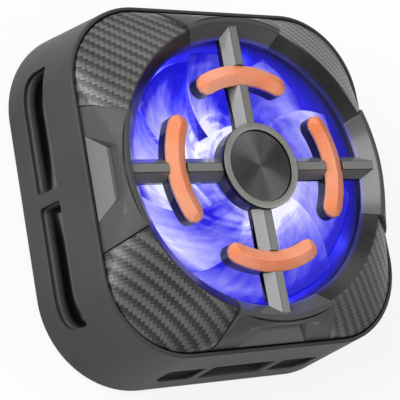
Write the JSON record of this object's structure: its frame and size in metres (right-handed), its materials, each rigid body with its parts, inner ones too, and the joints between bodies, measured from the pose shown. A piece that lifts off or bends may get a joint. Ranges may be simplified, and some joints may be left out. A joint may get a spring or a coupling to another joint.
{
  "type": "phone cooling fan",
  "caption": "Square magnetic cooler for a phone: a cold plate and magnet ring in its back, a finned heat sink inside, and a lit fan behind a spoked guard in its sloped front.",
  "frame": {"origin": "middle of the cold contact face, which the cooler lies on", "axes": "+Z along the fan axis, out of the front; -Y towards the charging socket; +X completes the frame"},
  "size_m": [0.0676, 0.0676, 0.0276],
  "materials": {
    "case_plastic": "satin dark grey moulded plastic",
    "cover_plastic": "satin grey moulded plastic",
    "woven_panel": "twill-weave film under clear gloss",
    "guard_plastic": "glossy mid-grey moulded plastic",
    "accent_orange": "glossy orange plastic",
    "trim_metal": "satin grey anodised trim",
    "spun_metal": "dark spun metal with fine concentric rings",
    "clear_blue": "milky clear plastic lit blue from below",
    "dark_plastic": "black moulded plastic",
    "silicone": "matt black silicone",
    "bare_aluminium": "brushed bare aluminium",
    "ceramic": "fired alumina",
    "semiconductor": "grey bismuth telluride",
    "foam": "closed-cell foam",
    "steel": "plated steel",
    "magnet_metal": "nickel-plated magnet",
    "ferrite": "bonded ferrite",
    "bronze": "oil-filled sintered bronze",
    "copper": "enamelled copper wire",
    "circuit_board": "green solder mask",
    "white_board": "white solder mask",
    "lamp": "blue light-emitting package",
    "chip": "black moulding compound",
    "lead_red": "red wire sheath",
    "lead_black": "black wire sheath",
    "capacitor_tan": "tan ceramic chip"
  },
  "bodies": {
    "housing": {"case_shell": "case_plastic", "back_cover": "dark_plastic", "contact_ring": "silicone", "cold_plate": "bare_aluminium", "peltier_cold_face": "ceramic", "peltier_pellets": "semiconductor", "peltier_hot_face": "ceramic", "peltier_leads": "lead_red", "insulation_gasket": "foam", "magnets": "magnet_metal", "shield_ring": "steel", "heat_sink": "bare_aluminium", "heat_sink_screws": "steel", "case_screws": "steel", "main_board": "circuit_board", "usb_shell": "steel", "usb_tongue": "chip", "control_chip": "chip", "power_inductor": "ferrite", "capacitors": "capacitor_tan", "board_screws": "steel", "fan_frame": "dark_plastic", "fan_screws": "steel", "fan_bearing": "bronze", "stator_core": "steel", "stator_windings": "copper", "motor_board": "circuit_board", "lamp_board": "white_board", "lamps": "lamp", "fan_leads": "lead_black", "supply_leads": "lead_black", "front_cover": "cover_plastic", "corner_panel_ne": "woven_panel", "corner_panel_nw": "woven_panel", "corner_panel_sw": "woven_panel", "corner_panel_se": "woven_panel", "fan_guard": "guard_plastic", "accent_arc_e": "accent_orange", "accent_arc_n": "accent_orange", "accent_arc_w": "accent_orange", "accent_arc_s": "accent_orange", "hub_ring": "trim_metal", "hub_disc": "spun_metal"},
    "rotor": {"impeller": "clear_blue", "rotor_yoke": "steel", "rotor_magnet": "ferrite", "fan_shaft": "steel", "shaft_clip": "white_board"}
  },
  "joints": [
    {"name": "fan_spin", "type": "hinge", "parent": "housing", "child": "rotor", "pos_m": [0, 0, 0.018], "axis": [0, 0, 1], "continuous": true}
  ]
}
